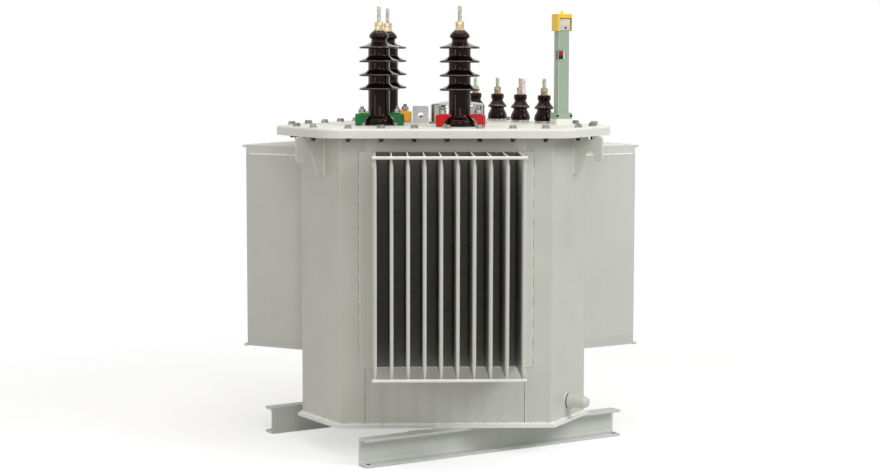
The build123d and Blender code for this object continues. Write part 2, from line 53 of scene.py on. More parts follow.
# Sizes shared with the part's source
LONG_SIDES = {"front": -120.0, "right": 0.0, "left": 120.0}
CORNERS = {"right": -60.0, "rear": 60.0, "left": 180.0}
LONG_DISTANCE = 308.0
CORNER_DISTANCE = 417.0
CHANNEL_TOP = 80.0
CHANNEL_INNER = 265.0
FLANGE_TOP = 8.0
HOLE_SPOTS = [(x, y) for x in (-425.0, 425.0) for y in (-294.0, 294.0)]
HOLE_RADIUS = 7.0
PLATE_TOP = 88.0
WALL_TOP = 920.0
COVER_TOP = 938.0
FIN_LOW = 257.0
FIN_HIGH = 870.0
FIN_END = 566.0
FIN_PITCH = 45.0
FIN_COUNT = 10
FIN_OFFSETS = [(k - (FIN_COUNT - 1) / 2) * FIN_PITCH for k in range(FIN_COUNT)]
PANEL_HALF = 244.5
SEAM_HALF = 228.0
HOOK_ALONG = 26.0
HOOK_LOW = 800.0
HOOK_HIGH = 908.0
DRAIN_ALONG = -8.0
LUG_PLACE = (-77.0, 0.0)
HV_PLACES = {"a": (-70.0, 204.0), "b": (-219.0, 0.0), "c": (-70.0, -204.0)}
HV_HEAD = COVER_TOP + 276.0
SEAT_HEIGHT = 6.0
LV_ACROSS = 297.0
LV_PLACES = {"c": -102.5, "b": 24.5, "a": 151.5, "n": 278.5}
LV_FOOT = COVER_TOP + SEAT_HEIGHT
LV_HEAD = LV_FOOT + 78.0
GAUGE_PLACE = (292.0, -198.0)
GAUGE_TURN = -14.0
GAUGE_HALF = 18.0
GAUGE_FOOT_HALF = 26.0
GAUGE_HEIGHT = 277.0

# Sizes of the fixings
STUD_RADIUS = 6.0
THREAD_PITCH = 1.75
NUT_BORE = 5.6
BOLT_FLATS = 18.0


# Places and turns on the object


def side_axes(angle):
    """Unit vectors outward and sideways on the side that faces angle."""
    turn = radians(angle)
    return Vector((cos(turn), sin(turn), 0)), Vector((-sin(turn), cos(turn), 0))


def on_side(angle, out, along, z):
    """Point at a distance out from the tank axis on the side that faces angle."""
    turn = radians(angle)
    return Vector((out * cos(turn) - along * sin(turn), out * sin(turn) + along * cos(turn), z))


def facing(angle, out, along, z):
    """Matrix that puts a shape's Z along the outward direction of a side and its Y upward."""
    outward, across = side_axes(angle)
    rows = Matrix((across, Vector((0, 0, 1)), outward)).transposed().to_4x4()
    return Matrix.Translation(on_side(angle, out, along, z)) @ rows


def upright(x, y, z, turn=0.0):
    """Matrix that stands a shape at a point, turned about Z by degrees."""
    return Matrix.Translation((x, y, z)) @ Matrix.Rotation(radians(turn), 4, "Z")


# Outlines in a plane


def arc(centre, radius, start, end, steps):
    """Points on an arc, angles in degrees."""
    turns = [radians(start + (end - start) * k / steps) for k in range(steps + 1)]
    return [(centre[0] + radius * cos(turn), centre[1] + radius * sin(turn)) for turn in turns]


def rectangle(half_width, half_height):
    """Corners of a rectangle about the origin."""
    return [(-half_width, -half_height), (half_width, -half_height),
            (half_width, half_height), (-half_width, half_height)]


def rounded_box(width, height, radius, steps=6):
    """Outline of a rounded rectangle about the origin."""
    w, h = width / 2 - radius, height / 2 - radius
    outline = []
    for k, corner in enumerate(((w, -h), (w, h), (-w, h), (-w, -h))):
        outline += arc(corner, radius, 90 * k - 90, 90 * k, steps)
    return outline


# Mesh makers


def band(low, high, count):
    """Faces between two rings of count points whose first points are low and high."""
    return [[low + k, low + (k + 1) % count, high + (k + 1) % count, high + k] for k in range(count)]


def new_object(name, data):
    """A named object, linked into the scene."""
    made = bpy.data.objects.new(name, data)
    bpy.context.scene.collection.objects.link(made)
    return made


class Shape:
    """A growing mesh in millimetres. Each maker adds one form."""

    def __init__(self):
        self.points = []
        self.faces = []
        self.marks = []

    def add(self, points, faces, place=None, mark=0):
        """Add a form at a place. Mark numbers its material, or lists a number for each face."""
        start = len(self.points)
        place = place or Matrix.Identity(4)
        self.points += [place @ Vector(p) for p in points]
        self.faces += [[start + i for i in face] for face in faces]
        self.marks += mark if isinstance(mark, list) else [mark] * len(faces)
        return self

    def turned(self, profile, place=None, steps=48, mark=0, bands=()):
        """Revolve a list of (radius, height) about Z. It runs from the bottom up. Bands lists the
        profile's segments that take the next material."""
        points, faces, marks, rings = [], [], [], []
        turns = [2 * pi * k / steps for k in range(steps)]
        for radius, height in profile:
            if radius < 1e-6:
                rings.append([len(points)])
                points.append((0, 0, height))
            else:
                rings.append(list(range(len(points), len(points) + steps)))
                points += [(radius * cos(turn), radius * sin(turn), height) for turn in turns]
        for index, (low, high) in enumerate(zip(rings, rings[1:])):
            for k in range(steps):
                n = (k + 1) % steps
                if len(low) == 1:
                    faces.append([low[0], high[n], high[k]])
                elif len(high) == 1:
                    faces.append([low[k], low[n], high[0]])
                else:
                    faces.append([low[k], low[n], high[n], high[k]])
                marks.append(mark + (index in bands))
        return self.add(points, faces, place, marks)

    def washer(self, hole, radius, low, high, place, steps, mark=0, cut=None):
        """A flat ring from low to high. Cut takes that much in and down off its upper edge."""
        edge = [(radius, high)]
        if cut:
            edge = [(radius, high - cut[1]), (radius - cut[0], high)]
        return self.turned([(hole, low), (radius, low), *edge, (hole, high)], place, steps, mark)

    def hexagon(self, flats, height, bore, place=None, base=0.0, mark=0, both=True):
        """A nut or bolt head with turned corner chamfers, on its lower end too if both is set. A
        bore of 0 closes its ends."""
        steps = 48
        chamfer = 0.95 * flats / 2
        rim = []
        for k in range(steps):
            angle = 2 * pi * k / steps
            corner = flats / 2 / cos((angle % (pi / 3)) - pi / 6)
            rim.append((angle, corner, (corner - chamfer) * tan(radians(30))))
        top = base + height
        levels = [(chamfer if both else None, base, 0.0), (None, base, 1.0 if both else 0.0),
                  (None, top, -1.0), (chamfer, top, 0.0)]
        if bore:
            levels = [(bore, base, 0.0), *levels, (bore, top, 0.0)]
        points, faces = [], []
        for radius, z, cut in levels:
            for angle, corner, fall in rim:
                r = radius or corner
                points.append((r * cos(angle), r * sin(angle), z + cut * fall))
        for level in range(1, len(levels)):
            faces += band((level - 1) * steps, level * steps, steps)
        if not bore:
            faces.append([(len(levels) - 1) * steps + k for k in range(steps)])
            faces.append([steps - 1 - k for k in range(steps)])
        return self.add(points, faces, place, mark)

    def thread(self, radius, low, high, place):
        """A vee thread wound from low to high, closed with a cone at the top."""
        steps = 20
        depth = 0.55 * THREAD_PITCH
        cross = [(-0.5, -depth), (-0.07, 0.0), (0.07, 0.0), (0.5, -depth)]
        points, faces = [], []
        for i in range(int((high - low) / THREAD_PITCH * steps) + 1):
            angle = 2 * pi * i / steps
            middle = low + THREAD_PITCH * i / steps
            for rise, cut in cross:
                z = min(max(middle + rise * THREAD_PITCH, low), high)
                r = radius + cut
                points.append((r * cos(angle), r * sin(angle), z))
            if i:
                a, b = (i - 1) * 4, i * 4
                faces += [[a + j, b + j, b + j + 1, a + j + 1] for j in range(3)]
        self.add(points, faces, place)
        core = radius - depth
        end = [(core, low), (core, high - 0.2), (core * 0.96, high + 0.6), (core * 0.8, high + 1.0)]
        return self.turned([*end, (0, high + 1.0)], place, steps)

    def bead(self, path, radius, closed=False, ripple=4.2, rough=1.0):
        """A weld bead along a path: a tube with the puddles of the run in its surface."""
        runs = list(path) + ([path[0]] if closed else [])
        stations = []
        travelled = 0.0
        for a, b in zip(runs, runs[1:]):
            a, b = Vector(a), Vector(b)
            length = (b - a).length
            parts = max(1, int(round(length / (ripple / 3.0))))
            for k in range(parts):
                stations.append((a.lerp(b, k / parts), travelled + length * k / parts, b - a))
            travelled += length
        if not closed:
            stations.append((b, travelled, b - a))
        around, total = 7, len(stations)
        turns = [2 * pi * k / around for k in range(around)]
        points, faces = [], []
        for index, (spot, run, heading) in enumerate(stations):
            at_end = not closed and index in (0, total - 1)
            if not at_end:
                heading = stations[(index + 1) % total][0] - stations[index - 1][0]
            heading = heading.normalized()
            side = heading.cross(Vector((0, 0, 1)))
            if side.length < 0.2:
                side = heading.cross(Vector((1, 0, 0)))
            side = side.normalized()
            other = heading.cross(side).normalized()
            puddle = 1.0 - 0.16 * rough * ((run / ripple) % 1.0)
            sway = 0.09 * sin(run * 0.11) + 0.06 * sin(run * 0.37 + 1.3) + 0.05 * sin(run * 0.73 + 0.4)
            size = radius * puddle * (1.0 + rough * sway) * (0.35 if at_end else 1.0)
            points += [spot + side * size * cos(turn) + other * size * sin(turn) for turn in turns]
        for index in range(total if closed else total - 1):
            a, b = index * around, (index + 1) % total * around
            for k in range(around):
                n = (k + 1) % around
                faces.append([a + k, b + k, b + n, a + n])
        if not closed:
            faces.append(list(range(around)))
            faces.append([len(points) - 1 - k for k in range(around)])
        return self.add(points, faces)

    def pressed(self, outline, thickness, place=None):
        """A flat outline in XY, given anticlockwise, raised along Z by thickness."""
        count = len(outline)
        points = [(x, y, z) for z in (0, thickness) for x, y in outline]
        faces = [[count - 1 - k for k in range(count)], [count + k for k in range(count)]]
        return self.add(points, faces + band(0, count, count), place)

    def piece(self, name, materials, slot, bevel=0.0, sharp=35.0, replaces=()):
        """Turn the shape into a named object that rides on the tank."""
        mesh = bpy.data.meshes.new(name)
        mesh.from_pydata([tuple(p * MM) for p in self.points], [], self.faces)
        for look in materials:
            mesh.materials.append(look)
        mesh.polygons.foreach_set("material_index", self.marks)
        mesh.shade_smooth()
        mesh.set_sharp_from_angle(angle=radians(sharp))
        mesh.update()
        made = new_object(name, mesh)
        if bevel:
            edge = made.modifiers.new("rounded_edges", "BEVEL")
            edge.width = bevel * MM
            edge.segments = 3
            edge.limit_method = "ANGLE"
            edge.angle_limit = radians(30)
        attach(made, "root")
        if replaces:
            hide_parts(*replaces)


# Shader helpers


def srgb(red, green, blue):
    """A colour written as it renders, 0 to 255, for a shader's socket."""
    def linear(v):
        v /= 255.0
        return v / 12.92 if v <= 0.04045 else ((v + 0.055) / 1.055) ** 2.4
    return (linear(red), linear(green), linear(blue), 1.0)


def feed(tree, socket, value):
    """Link a socket to another node's output, or give it a plain value."""
    if isinstance(value, bpy.types.NodeSocket):
        tree.links.new(value, socket)
    else:
        socket.default_value = value


def put(tree, kind, *fed, **named):
    """Add a node. Named values go to its settings, or to its sockets where they have that name,
    and the values before them to its sockets in order."""
    made = tree.nodes.new(kind)
    for key, value in named.items():
        if key in made.inputs:
            feed(tree, made.inputs[key], value)
        else:
            setattr(made, key, value)
    for socket, value in zip(made.inputs, fed):
        feed(tree, socket, value)
    return made


def maths(tree, operation, first, second=None, clamp=False):
    """One operation on one or two numbers or outputs."""
    fed = (first,) if second is None else (first, second)
    return put(tree, "ShaderNodeMath", *fed, operation=operation, use_clamp=clamp).outputs[0]


def plus(tree, first, second, clamp=False):
    """The sum of two values."""
    return maths(tree, "ADD", first, second, clamp)


def times(tree, first, second):
    """The product of two values."""
    return maths(tree, "MULTIPLY", first, second)


def blend(tree, share, first, second, kind="MIX"):
    """Mix two colours by share, in the way that kind names."""
    made = put(tree, "ShaderNodeMix", data_type="RGBA", blend_type=kind)
    for index, value in ((0, share), (6, first), (7, second)):
        feed(tree, made.inputs[index], value)
    return made.outputs[2]


def noise(tree, scale, detail=3.0, stretch=None, rough=0.5):
    """Noise over the object's own coordinates, stretched along its axes."""
    where = put(tree, "ShaderNodeTexCoord").outputs["Object"]
    if stretch:
        where = put(tree, "ShaderNodeMapping", where, Scale=stretch).outputs["Vector"]
    made = put(tree, "ShaderNodeTexNoise", where, Scale=scale, Detail=detail, Roughness=rough)
    return made.outputs["Fac"]


def ramp(tree, value, low, high):
    """0 at low and 1 at high, straight between them and flat beyond."""
    return put(tree, "ShaderNodeMapRange", value, low, high, clamp=True).outputs["Result"]


# Finish groups


def finish_group(name, inputs):
    """A shader group that gives a colour, a roughness and a height. Its inputs are colours and
    numbers with their first values."""
    group = bpy.data.node_groups.new(name, "ShaderNodeTree")
    colour, number = "NodeSocketColor", "NodeSocketFloat"
    for label, value in inputs.items():
        kind = colour if isinstance(value, tuple) else number
        socket = group.interface.new_socket(name=label, in_out="INPUT", socket_type=kind)
        socket.default_value = value
    for label, kind in (("Colour", colour), ("Roughness", number), ("Height", number)):
        group.interface.new_socket(name=label, in_out="OUTPUT", socket_type=kind)
    enter = group.nodes.new("NodeGroupInput")
    leave = group.nodes.new("NodeGroupOutput")
    return group, enter.outputs, leave.inputs


def make_sprayed_paint():
    """Sprayed enamel: broad cloudiness, fine orange peel, and dust that settles on top faces."""
    tree, given, result = finish_group(
        "sprayed_paint", {"Colour": (0.6, 0.6, 0.6, 1), "Cloud": 0.5, "Gloss": 0.45, "Dust": 0.3})
    broad = times(tree, noise(tree, 5.5, 4.0), 0.6)
    streak = times(tree, noise(tree, 9.0, 4.0, (1.0, 1.0, 0.12)), 0.4)
    cloud = ramp(tree, plus(tree, broad, streak), 0.36, 0.64)
    darker = blend(tree, 1.0, given["Colour"], (0.86, 0.86, 0.83, 1), "MULTIPLY")
    lighter = blend(tree, 1.0, given["Colour"], (1.035, 1.035, 1.03, 1), "MULTIPLY")
    coloured = blend(tree, given["Cloud"], given["Colour"], blend(tree, cloud, darker, lighter))
    normal = put(tree, "ShaderNodeNewGeometry").outputs["Normal"]
    upward = ramp(tree, put(tree, "ShaderNodeSeparateXYZ", normal).outputs["Z"], 0.55, 0.98)
    specks = ramp(tree, noise(tree, 26.0, 6.0, rough=0.7), 0.40, 0.66)
    dust = times(tree, times(tree, upward, specks), given["Dust"])
    feed(tree, result["Colour"], blend(tree, dust, coloured, (0.60, 0.55, 0.44, 1)))
    uneven = times(tree, maths(tree, "SUBTRACT", noise(tree, 38.0), 0.5), 0.16)
    rough = plus(tree, plus(tree, given["Gloss"], uneven), times(tree, dust, 0.3))
    feed(tree, result["Roughness"], rough)
    fine = times(tree, noise(tree, 420.0, 2.0), 0.35)
    peel = plus(tree, fine, times(tree, noise(tree, 60.0, 2.0), 0.65))
    feed(tree, result["Height"], peel)
    return tree


def make_worked_metal():
    """Bare or plated metal: drawing lines, tarnish in patches and a little pitting."""
    tree, given, result = finish_group("worked_metal", {
        "Bright": (0.8, 0.8, 0.8, 1), "Tarnish": (0.3, 0.25, 0.2, 1), "Amount": 0.4, "Gloss": 0.3})
    patches = ramp(tree, noise(tree, 85.0, 5.0, rough=0.65), 0.42, 0.68)
    share = times(tree, patches, given["Amount"])
    feed(tree, result["Colour"], blend(tree, share, given["Bright"], given["Tarnish"]))
    lines = noise(tree, 260.0, 3.0, (1.0, 1.0, 0.06))
    uneven = times(tree, maths(tree, "SUBTRACT", lines, 0.5), 0.2)
    worn = plus(tree, times(tree, share, 0.35), uneven)
    feed(tree, result["Roughness"], plus(tree, given["Gloss"], worn))
    feed(tree, result["Height"], lines)
    return tree


def make_fired_glaze():
    """Brown porcelain glaze: pooled darker and thinned to red-brown, with pinholes and ripple."""
    tree, given, result = finish_group("fired_glaze", {
        "Pooled": (0.01, 0.003, 0.003, 1), "Thin": (0.05, 0.015, 0.01, 1), "Gloss": 0.08})
    flow = ramp(tree, noise(tree, 16.0, 5.0, (1.0, 1.0, 0.45), 0.6), 0.42, 0.72)
    specks = ramp(tree, noise(tree, 480.0, 2.0), 0.66, 0.74)
    share = plus(tree, times(tree, flow, 0.7), times(tree, specks, 0.25), clamp=True)
    feed(tree, result["Colour"], blend(tree, share, given["Pooled"], given["Thin"]))
    feed(tree, result["Roughness"], plus(tree, given["Gloss"], times(tree, specks, 0.12)))
    feed(tree, result["Height"], noise(tree, 55.0, 2.0))
    return tree


sprayed_paint = make_sprayed_paint()
worked_metal = make_worked_metal()
fired_glaze = make_fired_glaze()


# Materials


def new_material(name):
    """A new material, its nodes and its surface shader."""
    made = bpy.data.materials.new(name)
    made.use_nodes = True
    return made, made.node_tree, made.node_tree.nodes["Principled BSDF"]


def make_material(name, group, values, bump, distance, **shader):
    """A material whose colour, roughness and bump come from one of the finish groups."""
    made, tree, surface = new_material(name)
    for key, value in shader.items():
        surface.inputs[key.replace("_", " ")].default_value = value
    finish = put(tree, "ShaderNodeGroup", node_tree=group)
    for key, value in values.items():
        finish.inputs[key].default_value = value
    relief = put(tree, "ShaderNodeBump", Strength=bump, Distance=distance, Height=finish.outputs["Height"])
    feed(tree, surface.inputs["Base Color"], finish.outputs["Colour"])
    feed(tree, surface.inputs["Roughness"], finish.outputs["Roughness"])
    feed(tree, surface.inputs["Normal"], relief.outputs["Normal"])
    return made


def paint(name, colour, cloud=0.5, gloss=0.42, dust=0.0, **shader):
    """Sprayed enamel in one colour."""
    values = {"Colour": srgb(*colour), "Cloud": cloud, "Gloss": gloss, "Dust": dust}
    return make_material(name, sprayed_paint, values, 0.12, 0.0006, **shader)


def metal(name, bright, tarnish, amount, gloss=0.42, bump=0.1):
    """Worked metal, tarnished by amount."""
    values = {"Bright": srgb(*bright), "Tarnish": srgb(*tarnish), "Amount": amount, "Gloss": gloss}
    return make_material(name, worked_metal, values, bump, 0.0004, Metallic=1.0)


def porcelain_glaze(name, pooled, thin, gloss, **shader):
    """Fired glaze under a thin clear coat."""
    values = {"Pooled": srgb(*pooled), "Thin": srgb(*thin), "Gloss": gloss}
    shader.update(Coat_Weight=0.18, Coat_Roughness=0.03)
    return make_material(name, fired_glaze, values, 0.05, 0.001, **shader)


tank_grey = paint("tank_grey_enamel", (207, 208, 200))
base_grey = paint("base_grey_enamel", (216, 218, 215), cloud=0.7)
# Painted light: the base plate, header sheet, lifting hooks and fin rods take lighter copies of the tank's
# enamel, so they read brighter than the lamps alone leave them.
plate_lit_grey = paint("base_plate_enamel_painted_light", (242, 244, 240), cloud=0.7)
header_lit_grey = paint("header_enamel_painted_light", (224, 225, 218))
hook_lit_grey = paint("hook_enamel_painted_light", (224, 225, 217))
rod_lit_grey = paint("fin_rod_enamel_painted_light", (238, 239, 233), gloss=0.34)
lug_grey = paint("cover_lug_enamel", (206, 208, 207), cloud=0.7)
cover_grey = paint("cover_grey_enamel", (237, 237, 230), dust=0.25)
# Painted light: the weld beads take lighter copies of the tank's enamel, with the base plate's bead and the
# end fins' fold beads the lightest.
bead_lit_grey = paint("weld_bead_enamel_painted_light", (224, 225, 218), gloss=0.34)
bead_painted_light = paint("base_bead_enamel_painted_light", (246, 247, 243), gloss=0.34)
valve_grey = paint("drain_valve_enamel", (214, 214, 207))
claw_green = paint("claw_green_enamel", (8, 112, 54), cloud=0.6, gloss=0.34, Specular_IOR_Level=0.25)
claw_yellow = paint("claw_yellow_enamel", (248, 172, 14), cloud=0.4, gloss=0.34, Coat_Weight=0.1)
claw_red = paint("claw_red_enamel", (198, 12, 18), cloud=0.6, gloss=0.34, Specular_IOR_Level=0.25)
relief_enamel = paint("relief_valve_enamel", (204, 208, 198), cloud=0.3, gloss=0.4)
valve_cream = paint("relief_valve_cream", (228, 219, 212), cloud=0.3, gloss=0.4)
hood_yellow = paint("hood_yellow_plastic", (252, 206, 14), cloud=0.3, gloss=0.34, Coat_Weight=0.1)
gauge_green = paint("gauge_grey_green_enamel", (159, 177, 155), cloud=0.4, gloss=0.38)
# Lighter enamel for the gauge's front rib: a painted highlight along the tube's corner
rib_highlight_green = paint("gauge_rib_painted_highlight", (190, 206, 186), cloud=0.2, gloss=0.3)
strip_white = paint("gauge_strip_white", (236, 232, 230), cloud=0.2, gloss=0.3)
dark_glass = paint("gauge_side_glass", (16, 12, 16), cloud=0.4, gloss=0.2, Specular_IOR_Level=0.25)
# Black of the socket screws, also used as painted shade in the drain valve's slot and neck
black_screw_and_shade = paint("black_screw_and_painted_shade", (34, 34, 32), cloud=0.6, gloss=0.45)
gasket_rubber = paint("cork_rubber_gasket", (38, 32, 30), cloud=0.9, gloss=0.7)
dark_bore = paint("dark_bore_wall", (46, 44, 40), cloud=0.9, gloss=0.7)
# Painted shade for the creases beside the wall seams
crease_shade = paint("weld_toe_painted_shade", (142, 141, 133), cloud=1.0, gloss=0.6)

tinned_stud = metal("tinned_stud", (214, 215, 206), (150, 146, 130), 0.5)
brass_nut = metal("lacquered_brass_nut", (214, 196, 160), (120, 92, 56), 0.55, gloss=0.34)
dull_nut = metal("dull_brass_nut", (186, 170, 138), (92, 76, 52), 0.65, gloss=0.36)
brass_seat = metal("brass_seat_ring", (192, 184, 166), (124, 114, 96), 0.5, gloss=0.36)
claw_stud = metal("dull_claw_stud", (176, 177, 176), (92, 88, 82), 0.7)
connector_tin = metal("tinned_connector_plate", (206, 196, 197), (160, 144, 142), 0.5)
zinc_bolt = metal("zinc_plated_bolt", (158, 156, 147), (72, 67, 56), 0.7)
dark_nut = metal("oiled_steel_nut", (74, 73, 69), (34, 32, 28), 0.6, gloss=0.5)
tap_chrome = metal("polished_steel_cap", (178, 175, 170), (86, 78, 70), 0.35, gloss=0.13, bump=0.05)

glaze = porcelain_glaze("brown_porcelain_glaze", (16, 6, 6), (44, 20, 16), 0.06,
                        Specular_Tint=(0.14, 0.06, 0.055, 1))
# The lighter rim glaze is partly glaze run thin on the sheds' rims and partly a painted highlight along
# them.
rim_glaze_and_highlight = porcelain_glaze("thin_rim_glaze_and_painted_highlight", (34, 18, 15), (132, 106, 94), 0.08)


# Paint on the imported nodes

# Metres out from the tank's axis where the painted shade between the fins starts and where it
# is full, and metres along a wall to either side of its end fins' middles
SHADE_STARTS_OUT = 0.560
SHADE_FULL_OUT = 0.330
END_FIN_OUTSIDE = 0.2030
END_FIN_INSIDE = 0.2022


def fin_paint(side, angle):
    """Enamel on a corrugated wall, with painted shade between the fins: the colour darkens to a dull
    grey towards the fins' roots, but not on the outer faces of the two end fins."""
    made = paint(f"fin_enamel_with_painted_shade_{side}", (210, 211, 204), cloud=0.35)
    tree = made.node_tree
    surface = tree.nodes["Principled BSDF"]
    where = put(tree, "ShaderNodeTexCoord").outputs["Object"]
    out, along = [put(tree, "ShaderNodeVectorMath", where, axis, operation="DOT_PRODUCT").outputs["Value"]
                  for axis in side_axes(angle)]
    depth = ramp(tree, out, SHADE_STARTS_OUT, SHADE_FULL_OUT)
    between = ramp(tree, maths(tree, "ABSOLUTE", along), END_FIN_OUTSIDE, END_FIN_INSIDE)
    painted = surface.inputs["Base Color"].links[0].from_socket
    # Painted shade between the fins: a dull dark grey, uneven by noise
    painted_shade = blend(tree, noise(tree, 30.0, 4.0), srgb(92, 91, 85), srgb(120, 119, 112))
    feed(tree, surface.inputs["Base Color"], blend(tree, times(tree, depth, between), painted, painted_shade))
    return made


DRESS = {
    "channel": base_grey, "base_plate": plate_lit_grey, "corner_plate": tank_grey,
    "lower_sheet": tank_grey, "header_sheet": header_lit_grey, "tank_flange": tank_grey,
    "fin_rods": rod_lit_grey, "cover": cover_grey, "cover_lug": lug_grey,
    "lifting_hook": hook_lit_grey, "drain_valve": valve_grey,
    "hv_bushing": glaze, "hv_terminal": tinned_stud,
    "hv_clamps_a": claw_yellow, "hv_clamps_b": claw_green, "hv_clamps_c": claw_red,
    "lv_bushing": glaze, "lv_terminal": tinned_stud, "lv_seats": brass_seat,
    "gauge": gauge_green, "gauge_boss": cover_grey,
    "relief_valve": relief_enamel, "relief_hood": hood_yellow, "tap_switch_cap": tap_chrome,
}
for side, angle in LONG_SIDES.items():
    DRESS[f"fin_wall_{side}"] = fin_paint(side, angle)
for name, made in nodes.items():
    key = max((k for k in DRESS if name.startswith(k)), key=len)
    made.data.materials.clear()
    made.data.materials.append(DRESS[key])


# Weld beads on the tank and its walls


def rounded_plan(offset_out, radius, z, steps=5):
    """The tank's plan, moved outward, as a closed path with rounded bends."""
    far = CORNER_DISTANCE + offset_out
    half = (LONG_DISTANCE + offset_out - far * cos(radians(60))) / sin(radians(60))
    corners = [on_side(angle, far, a, 0.0) for angle in sorted(CORNERS.values()) for a in (-half, half)]
    path = []
    for k, spot in enumerate(corners):
        before = (corners[k - 1] - spot).normalized()
        after = (corners[(k + 1) % len(corners)] - spot).normalized()
        half_angle = before.angle(after) / 2
        cut = radius / tan(half_angle)
        middle = spot + (before + after).normalized() * (radius / sin(half_angle))
        start, end = spot + before * cut - middle, spot + after * cut - middle
        first, last = atan2(start.y, start.x), atan2(end.y, end.x)
        if last - first > pi:
            last -= 2 * pi
        if first - last > pi:
            last += 2 * pi
        for j in range(steps + 1):
            turn = first + (last - first) * j / steps
            path.append(Vector((middle.x + radius * cos(turn), middle.y + radius * sin(turn), z)))
    return path


def upright_bead(shape, angle, out, along, low, high, radius, **look):
    """A bead up a side from low to high."""
    shape.bead([on_side(angle, out, along, low), on_side(angle, out, along, high)], radius, **look)


def outward_bead(shape, angle, start, end, along, z, radius, **look):
    """A level bead away from a side, from start to end."""
    shape.bead([on_side(angle, start, along, z), on_side(angle, end, along, z)], radius, **look)


def panel_seams(shape, angle):
    """Beads round a cooling wall's panel, and up the sheets below and above it."""
    edge, low, high = PANEL_HALF + 0.5, FIN_LOW - 0.5, FIN_HIGH + 0.5
    corners = ((-edge, low), (edge, low), (edge, high), (-edge, high))
    path = [on_side(angle, LONG_DISTANCE + 0.8, along, z) for along, z in corners]
    shape.bead(path, 3.4, closed=True, ripple=6.0, rough=1.8)
    for along in (-SEAM_HALF, SEAM_HALF):
        upright_bead(shape, angle, LONG_DISTANCE - 0.6, along, PLATE_TOP, FIN_LOW, 2.0)
        upright_bead(shape, angle, LONG_DISTANCE - 0.6, along, FIN_HIGH, WALL_TOP, 2.0)


def toe_lines(shape, angle):
    """Darker lines beside the panel's sides and the seams below it: painted shade in the creases."""
    look = {"ripple": 12.0, "rough": 2.6}
    for along in (-PANEL_HALF - 3.9, PANEL_HALF + 3.9):
        upright_bead(shape, angle, LONG_DISTANCE + 0.1, along, FIN_LOW, FIN_HIGH, 1.2, **look)
    for along in (-SEAM_HALF - 2.6, SEAM_HALF - 2.6):
        upright_bead(shape, angle, LONG_DISTANCE - 0.2, along, PLATE_TOP + 4, FIN_LOW, 1.2, **look)


def fold_welds(shape, angle):
    """Beads along the folds near the tops of the two end fins, on their outer faces, in the lightest bead
    enamel: a painted light band along the folds.
    """
    end_fin = FIN_OFFSETS[-1] + 4.4
    for along in (-end_fin, end_fin):
        outward_bead(shape, angle, LONG_DISTANCE + 5, FIN_END - 12, along, FIN_HIGH - 27, 3.2,
                     ripple=10.0, rough=1.8)


def rod_welds(shape, angle):
    """Dabs that hold the two tie rods, one on each side of every fin's tip."""
    for fin in FIN_OFFSETS:
        for z in (FIN_LOW + 3.0, FIN_HIGH - 3.0):
            for step in (-2.2, 2.2):
                upright_bead(shape, angle, FIN_END + 0.6, fin + step, z - 4.5, z + 4.5, 2.2, ripple=3.0)


def crest_welds(shape, angle):
    """Beads along the top edges of the fins."""
    for fin in FIN_OFFSETS:
        outward_bead(shape, angle, LONG_DISTANCE + 4.0, FIN_END - 3.0, fin, FIN_HIGH - 0.6, 2.4, ripple=9.0)


def make_piece(maker, name, look, slot, *angle):
    """A piece in one material, from one of the makers here."""
    shape = Shape()
    maker(shape, *angle)
    shape.piece(name, [look], slot)


base_bead = Shape().bead(rounded_plan(1.0, 10.0, PLATE_TOP + 1.5), 5.0, closed=True, ripple=7.0, rough=1.9)
base_bead.piece("base_plate_weld", [bead_painted_light], "tank_paint")
rim_bead = Shape().bead(rounded_plan(0.5, 9.5, WALL_TOP - 1.0), 3.0, closed=True)
rim_bead.piece("flange_weld", [bead_lit_grey], "tank_paint")
for side, angle in LONG_SIDES.items():
    make_piece(panel_seams, f"wall_seam_welds_{side}", bead_lit_grey, "tank_paint", angle)
    make_piece(toe_lines, f"weld_toe_lines_{side}", crease_shade, "tank_paint", angle)
    make_piece(fold_welds, f"end_fin_fold_welds_{side}", bead_painted_light, "fin_paint", angle)
    make_piece(rod_welds, f"fin_rod_welds_{side}", rod_lit_grey, "fin_paint", angle)
    make_piece(crest_welds, f"fin_crest_welds_{side}", rod_lit_grey, "fin_paint", angle)


# Welds and dark places on the fittings

drain_low, drain_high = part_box("drain_valve")
drain_height = (drain_low.z + drain_high.z) / 2 / MM


def on_drain(out):
    """Matrix on the drain valve's axis, out from the tank's corner wall."""
    return facing(CORNERS["right"], CORNER_DISTANCE + out, DRAIN_ALONG, drain_height)


def drain_ring(out, radius):
    """Closed path round the drain valve's axis."""
    middle = on_drain(out)
    turns = [2 * pi * k / 40 for k in range(40)]
    return [middle @ Vector((radius * cos(turn), radius * sin(turn), 0)) for turn in turns]


def hook_welds(shape):
    """Beads up both faces of each lifting hook and across below it."""
    out = CORNER_DISTANCE + 0.8
    for angle in CORNERS.values():
        for step in (-6.0, 6.0):
            upright_bead(shape, angle, out, HOOK_ALONG + step, HOOK_LOW, HOOK_HIGH, 3.2)
        shape.bead([on_side(angle, out, HOOK_ALONG + step, HOOK_LOW - 0.5) for step in (-7.0, 7.0)], 3.0)


def lug_weld(shape):
    """Bead round the foot of the cover lug."""
    outward, across = side_axes(LONG_SIDES["front"])
    foot = Vector((*LUG_PLACE, COVER_TOP + 1.0))
    shape.bead([foot + across * a + outward * o for a, o in rectangle(24.5, 6)], 3.2, closed=True)


def channel_welds(shape):
    """Short beads between the base plate and the inner edges of the channels."""
    z = CHANNEL_TOP - 0.8
    for y in (0.8 - CHANNEL_INNER, CHANNEL_INNER - 0.8):
        for x in (-250, -90, 90, 250):
            shape.bead([(x - 30, y, z), (x + 30, y, z)], 3.4)


